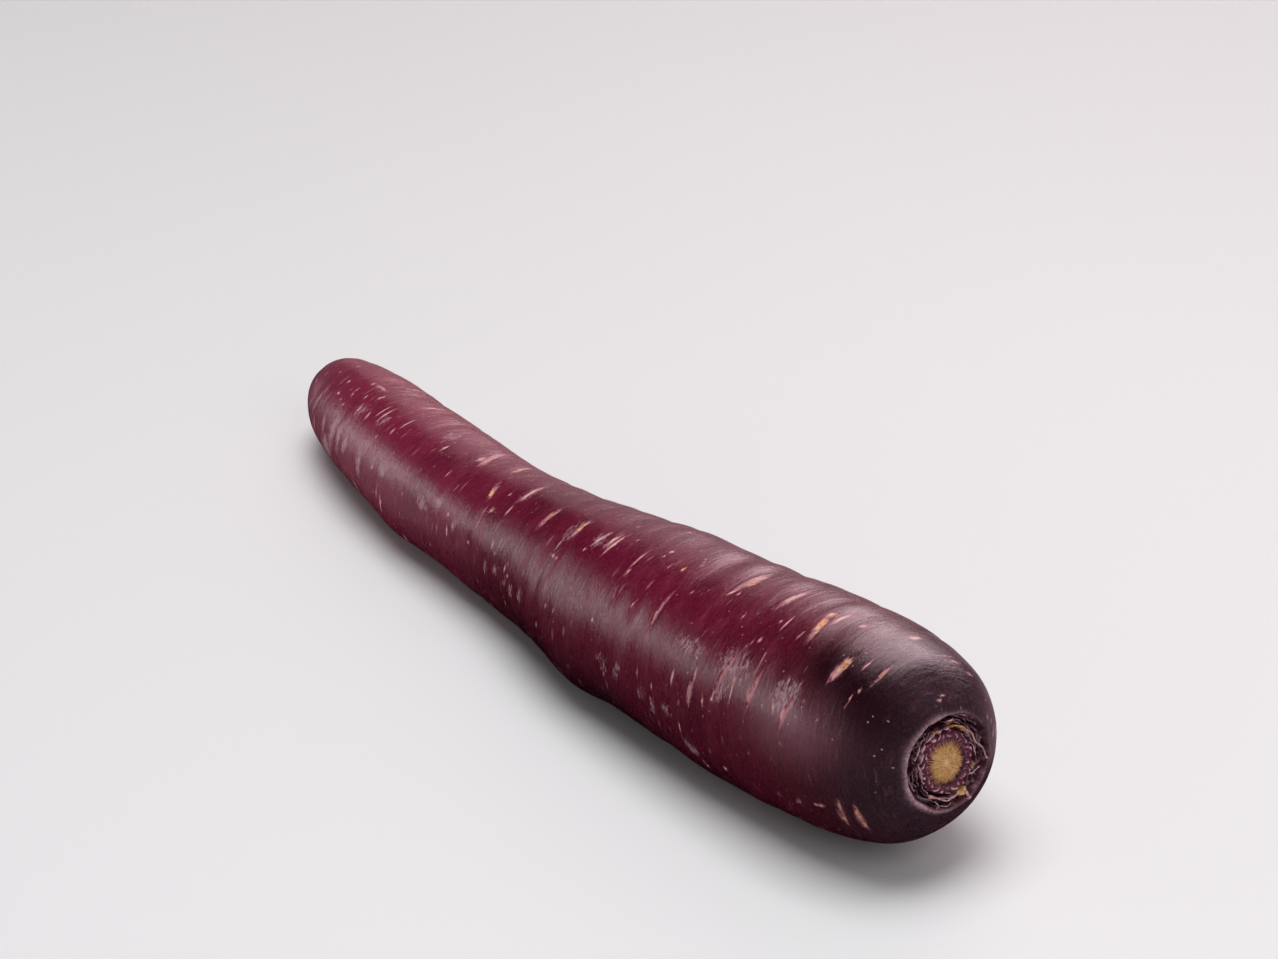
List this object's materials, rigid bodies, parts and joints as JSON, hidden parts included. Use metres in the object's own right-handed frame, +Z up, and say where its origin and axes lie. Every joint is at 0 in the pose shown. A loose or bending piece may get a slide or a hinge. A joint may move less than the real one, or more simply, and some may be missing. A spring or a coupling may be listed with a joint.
{
  "type": "purple carrot",
  "caption": "Long purple carrot lying on its side: a tapering, slightly bowed root with slit scars, and a topped crown with its cut leaf stalks in a shallow pit.",
  "frame": {"origin": "on the surface that it lies on, under the middle of its bounding box", "axes": "+X from the tip to the crown, +Z up, so the root bows a little towards -Y at its middle"},
  "size_m": [0.2106, 0.0392, 0.0385],
  "materials": {
    "purple_skin": "satin burgundy skin, darker at the crown, with fine cross wrinkles, pale streaks and dusty scuffs",
    "cut_stalk": "matte cut face with a tan radial pith inside a wrinkled purple ring",
    "papery_sheath": "matte, dry and papery, tan with pink threads",
    "withered_leaf": "matte, shrivelled and nearly black"
  },
  "bodies": {
    "root": {"root": "purple_skin", "stalk_stub": "cut_stalk", "sheath_frill": "papery_sheath", "withered_leaf_bases": "withered_leaf"}
  },
  "joints": []
}
